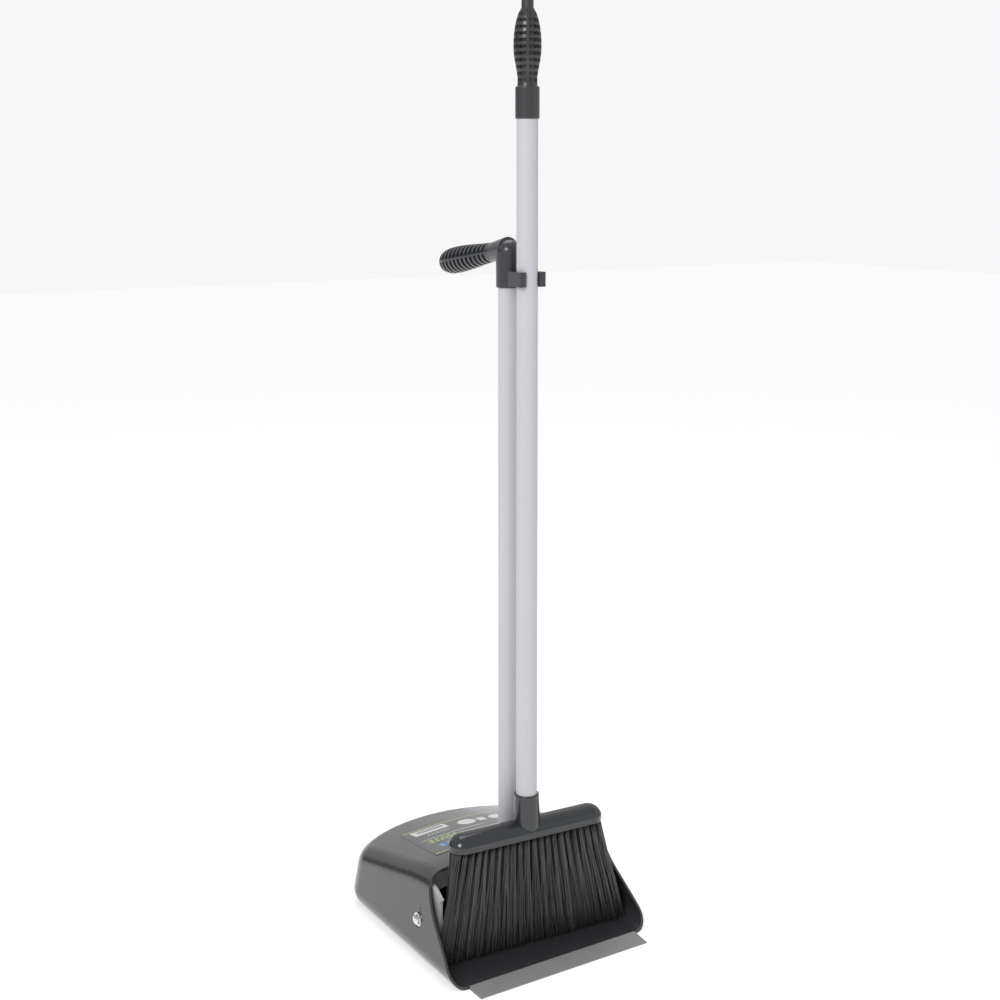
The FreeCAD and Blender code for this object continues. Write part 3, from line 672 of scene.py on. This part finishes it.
# --- handle --------------------------------------------------------------------------------
class Handle(SubAssembly):
    """The yoke, the pan's tube, and the elbow with its grip and clip."""

    body = "handle"
    dressing = {
        Slot.YOKE: ["yoke"],
        Slot.STEEL: ["yoke_screw", "clip_screw"],
        Slot.TUBE: ["pan_tube"],
        Slot.CORE: ["tube_core"],
        Slot.GRIP: ["elbow", "pan_grip", "broom_clip"],
    }


# --- brush ---------------------------------------------------------------------------------
@dataclass
class Bristles:
    """Tufts of strands set in rows under the block, flared towards the floor.

    The strands keep to side_room between the pan's walls, and to nut_room behind nut_front, where
    the pivot's nuts stand in. Lengths that scatter are shares of splay, raggedness or bow.
    """

    TONE = "strand_tone"

    row_offsets: Tuple[float, ...] = (-8.0 * MM, -4.0 * MM, 0.0, 4.0 * MM, 8.0 * MM)
    tufts_per_row: int = 22
    root_half: float = 83.0 * MM
    root_depth_half: float = 8.0 * MM
    tip_half: float = 109.0 * MM
    tip_depth_half: float = 14.0 * MM
    side_room: float = 98.3 * MM
    nut_room: float = 89.0 * MM
    nut_front: float = -20.0 * MM
    hole_radius: float = 2.3 * MM
    splay: float = 6.5 * MM
    strands: int = 30
    sides: int = 3
    steps: int = 5
    root_radius: float = 0.46 * MM
    tip_radius: float = 0.34 * MM
    sunk: float = 1.5 * MM
    tip_z: float = 6.0 * MM
    raggedness: float = 2.3 * MM
    bow: float = 3.4 * MM
    yaw: float = math.radians(-3.5)
    oval: float = 0.7
    stray_share: float = 0.06
    stray_lift: Tuple[float, float] = (1.0, 4.0)
    most_lift: float = 6.0
    mean_tone: float = 0.42
    tuft_spread: float = 0.12
    strand_spread: float = 0.26
    seed: int = 11

    def strand(self) -> bpy.types.Mesh:
        """One straight strand that hangs from the origin, one unit long and one unit in radius.

        Returns:
            Its mesh, closed at both ends.
        """
        shape = bmesh.new()
        bmesh.ops.create_circle(shape, cap_ends=False, radius=1.0, segments=self.sides)
        rim = list(shape.edges)
        for _ in range(self.steps):
            grown = bmesh.ops.extrude_edge_only(shape, edges=rim)["geom"]
            ring = [part for part in grown if isinstance(part, bmesh.types.BMVert)]
            bmesh.ops.translate(shape, verts=ring, vec=(0, 0, -1 / self.steps))
            inside = set(ring)
            rim = [edge for edge in shape.edges if all(end in inside for end in edge.verts)]
        bmesh.ops.holes_fill(shape, edges=list(shape.edges), sides=self.sides)
        bmesh.ops.recalc_face_normals(shape, faces=list(shape.faces))
        mesh = bpy.data.meshes.new("strand")
        shape.to_mesh(mesh)
        shape.free()
        return mesh

    def tuft_roots(self) -> List[Tuple[float, float]]:
        """Centres of the tufts' holes, across and along the block, with every other row staggered."""
        pitch = 2 * self.root_half / (self.tufts_per_row - 1)
        found = []
        for row, back in enumerate(self.row_offsets):
            count = self.tufts_per_row - row % 2
            start = -pitch * (count - 1) / 2
            found.extend((start + pitch * place, back) for place in range(count))
        return found

    def tip_of(self, root: Vector, centre: Vector, arm_front: float, rng: random.Random) -> Vector:
        """Where one strand of a tuft ends.

        Args:
            root: the tuft's centre under the block.
            centre: the brush tube's axis.
            arm_front: how far forward the yoke's arms stand.
            rng: the random source.

        Returns:
            The tip, in the brush's own frame.
        """
        angle, reach = rng.uniform(0, 2 * math.pi), self.splay * math.sqrt(rng.random())
        across = root.x * self.tip_half / self.root_half + reach * math.cos(angle)
        along = root.y * self.tip_depth_half / self.root_depth_half + self.oval * reach * math.sin(angle)
        depth = centre.y + along + across * math.sin(self.yaw)
        limit = self.side_room if depth > arm_front else self.tip_half + self.splay / 2
        limit = self.nut_room if depth > self.nut_front else limit
        across = max(-limit, min(limit, across))
        lift = abs(rng.gauss(0, 1)) * self.raggedness
        if rng.random() < self.stray_share:
            lift += rng.uniform(*self.stray_lift) * self.raggedness
        lift = min(lift, self.most_lift * self.raggedness)
        return Vector((across, along, self.tip_z - self.raggedness + lift))

    def shape(self, block_low: Vector, centre: Vector, arm_front: float) -> bmesh.types.BMesh:
        """Make every strand.

        Args:
            block_low: lowest corner of the block.
            centre: the brush tube's axis.
            arm_front: how far forward the yoke's arms stand.

        Returns:
            The strands in place, each vertex with its strand's tone.
        """
        rng = random.Random(self.seed)
        pattern = self.strand()
        whole = bmesh.new()
        tone = whole.verts.layers.float.new(self.TONE)
        turn = Matrix.Rotation(self.yaw, 3, "Z")
        for across, along in self.tuft_roots():
            tuft_tone = self.mean_tone + rng.uniform(-self.tuft_spread, self.tuft_spread)
            centre_root = Vector((across, along, 0))
            for _ in range(self.strands):
                angle, reach = rng.uniform(0, 2 * math.pi), self.hole_radius * math.sqrt(rng.random())
                offset = Vector((math.cos(angle), math.sin(angle), 0)) * reach
                root = centre_root + offset
                root.z = block_low.z + self.sunk
                tip = self.tip_of(centre_root, centre, arm_front, rng)
                bend = Vector((rng.gauss(0, 1), rng.gauss(0, 1), 0)) * self.bow / 2
                value = min(1.0, max(0.0, tuft_tone + rng.gauss(0, self.strand_spread)))
                first = len(whole.verts)
                whole.from_mesh(pattern)
                whole.verts.ensure_lookup_table()
                for number in range(first, len(whole.verts)):
                    point = whole.verts[number]
                    down = -point.co.z
                    radius = self.root_radius + (self.tip_radius - self.root_radius) * down
                    line = root.lerp(tip, down) + bend * (4 * down * (1 - down)) * down
                    line += Vector((point.co.x, point.co.y, 0)) * radius
                    line = turn @ line
                    point.co = (centre.x + line.x, centre.y + line.y, line.z)
                    point[tone] = value
        bpy.data.meshes.remove(pattern)
        return whole


class Brush(SubAssembly):
    """The brush: its tube, block, bristles, and grip with the hanging eye."""

    body = "broom"
    SQUEEZED = 0.76
    ARM_GAP = 1.5 * MM
    dressing = {
        Slot.TUBE: ["broom_tube"],
        Slot.CORE: ["tube_plug"],
        Slot.BLOCK: ["brush_block"],
        Slot.GRIP: ["grip_collar", "broom_grip"],
    }

    def build(self) -> List[bpy.types.Object]:
        """Make the strands that stand for the plain block of the bristles.

        Returns:
            The one piece with all the strands.
        """
        block_low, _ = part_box("brush_block")
        tube_low, tube_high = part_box("broom_tube")
        yoke_low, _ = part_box("yoke")
        centre = (tube_low + tube_high) / 2
        strands = Bristles().shape(block_low, centre, yoke_low.y - self.ARM_GAP)
        bristles = finish_piece("bristles", strands, self.body, self.finishes[Slot.BRISTLE])
        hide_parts("bristle_fan")
        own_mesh(bristles)
        return [bristles]


# --- studio --------------------------------------------------------------------------------
@dataclass
class Softbox:
    """One large area light."""

    name: str
    place: Tuple[float, float, float]
    aim: Tuple[float, float, float]
    size: float
    watts: float

    def build(self) -> None:
        """Put the light in the scene."""
        lamp = bpy.data.lights.new(self.name, "AREA")
        lamp.shape = "SQUARE"
        lamp.size = self.size
        lamp.energy = self.watts
        holder = bpy.data.objects.new(self.name, lamp)
        holder.location = self.place
        holder.rotation_euler = (Vector(self.aim) - Vector(self.place)).to_track_quat("-Z", "Y").to_euler()
        bpy.context.scene.collection.objects.link(holder)


@dataclass
class Studio:
    """Pale floor, bright surround with one dark gap, soft lights and the camera."""

    camera_place: Tuple[float, float, float] = (-0.8411, -1.3097, 0.8004)
    camera_heading: float = 32.2
    camera_pitch: float = -4.0
    lens: float = 54.4
    shift_down: float = 0.22
    floor_half: float = 9.0
    surround: float = 0.62
    backdrop: float = 0.93
    floor_glow: float = 0.42
    gap_level: float = 0.02
    gap_foot: Tuple[float, float] = (0.02, 0.06)
    gap_top: Tuple[float, float] = (0.24, 0.29)
    gap_behind: Tuple[float, float] = (0.45, 0.56)
    gap_left: Tuple[float, float] = (0.30, 0.42)
    floor_dark: Colour = (0.86, 0.86, 0.865)
    floor_light: Colour = (0.88, 0.88, 0.885)
    sensor_width: float = 36.0
    lights: Tuple[Softbox, ...] = (
        Softbox("key_light", (-1.7, -1.0, 1.8), (0.0, 0.0, 0.35), 0.9, 22.0),
        Softbox("fill_light", (1.7, -1.6, 1.2), (0.0, 0.0, 0.3), 1.4, 1.5),
        Softbox("top_light", (0.3, 0.7, 2.2), (0.0, 0.0, 0.2), 1.2, 9.0),
    )

    def build(self) -> None:
        """Make the whole studio."""
        self.build_floor()
        self.build_surround()
        for light in self.lights:
            light.build()
        self.build_camera()
        bpy.context.scene.view_settings.view_transform = "Standard"
        LOG.info("studio: floor, surround, %d lights and the camera", len(self.lights))

    def build_floor(self) -> None:
        """Lay the floor, with its top at z = 0."""
        shape = bmesh.new()
        bmesh.ops.create_grid(shape, x_segments=4, y_segments=4, size=self.floor_half)
        mesh = bpy.data.meshes.new("studio_floor")
        shape.to_mesh(mesh)
        shape.free()
        material = bpy.data.materials.new("studio_floor_finish")
        material.use_nodes = True
        graph = Graph(material.node_tree)
        wash = graph.noise(graph.place(), 3.0, 3.0)
        graph.surface(
            Base_Color=graph.blend(wash, self.floor_dark, self.floor_light),
            Roughness=0.7 + (wash - 0.5) * 0.1,
            Emission_Color=(1.0, 1.0, 1.0, 1.0),
            Emission_Strength=self.floor_glow,
        )
        mesh.materials.append(material)
        floor = bpy.data.objects.new("studio_floor", mesh)
        bpy.context.scene.collection.objects.link(floor)
        floor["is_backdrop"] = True

    def build_surround(self) -> None:
        """Light the world evenly, but for a dark gap between the softboxes behind the left shoulder."""
        world = bpy.data.worlds.new("studio_surround")
        world.use_nodes = True
        bpy.context.scene.world = world
        graph = Graph(world.node_tree)
        way = graph.add("ShaderNodeTexCoord", {}, {}, output=0)
        east, north, up = graph.axes(way)
        upright = up.ramp(*self.gap_foot) * (1 - up.ramp(*self.gap_top))
        gap = upright * north.ramp(*self.gap_behind) * (0.0 - east).ramp(*self.gap_left)
        level = self.surround - gap * (self.surround - self.gap_level)
        seen = graph.add("ShaderNodeLightPath", {}, {}, output=0)
        shown = graph.add("ShaderNodeBackground", {}, {"Color": (1, 1, 1, 1), "Strength": self.backdrop})
        glow = graph.add("ShaderNodeBackground", {}, {"Color": (1, 1, 1, 1), "Strength": level})
        both = graph.add("ShaderNodeMixShader", {}, {0: seen, 1: glow, 2: shown})
        graph.add("ShaderNodeOutputWorld", {}, {"Surface": both})

    def build_camera(self) -> None:
        """Stand the camera where the object is seen from its front left, a little above."""
        data = bpy.data.cameras.new("camera")
        data.sensor_width = self.sensor_width
        data.lens = self.lens
        data.shift_y = -self.shift_down
        camera = bpy.data.objects.new("camera", data)
        camera.location = self.camera_place
        camera.rotation_euler = (
            math.radians(90 + self.camera_pitch),
            0.0,
            -math.radians(self.camera_heading),
        )
        bpy.context.scene.collection.objects.link(camera)
        bpy.context.scene.camera = camera


# --- all of it -----------------------------------------------------------------------------
FINISHES: Tuple[Finish, ...] = (
    Moulding(Slot.PAN, (0.034, 0.035, 0.038), 0.24, gloss_coat=0.5),
    LipRubber(Slot.LIP, (0.27, 0.27, 0.274), 0.46),
    PrintedFilm(Slot.LABEL, (0.035, 0.036, 0.039), 0.22),
    Plating(Slot.STEEL, (0.74, 0.74, 0.75), 0.24),
    # painted reflection: the yoke's pale grey stands in for the reflection that lights its arm inside the
    # pan
    Moulding(Slot.YOKE, (0.42, 0.42, 0.43), 0.30),
    Paint(Slot.TUBE, (0.52, 0.517, 0.548), 0.36),
    Moulding(Slot.CORE, (0.030, 0.030, 0.032), 0.45),
    Moulding(Slot.GRIP, (0.030, 0.032, 0.036), 0.26, gloss_coat=0.2),
    Moulding(Slot.BLOCK, (0.022, 0.024, 0.027), 0.14, grain_depth=0.02 * MM, gloss_coat=0.3),
    Filament(Slot.BRISTLE, (0.078, 0.078, 0.082), 0.34),
)


def write_sizes() -> Dict[str, List[List[float]]]:
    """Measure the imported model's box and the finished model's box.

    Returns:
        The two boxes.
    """
    low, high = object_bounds()
    sizes = {"cad": [list(PACKED_LOW), list(PACKED_HIGH)], "visual": [list(low), list(high)]}
    return sizes


def main() -> None:
    """Build the studio and each sub-assembly in order, and report each piece."""
    logging.basicConfig(level=logging.INFO, format="%(message)s")
    Studio().build()
    finishes = {finish.slot: finish.material() for finish in FINISHES}
    for kind in (Pan, Handle, Brush):
        assembly = kind(finishes)
        assembly.build()
        assembly.dress()
    LOG.info("sizes: %s", write_sizes())


if __name__ == "__main__":
    main()
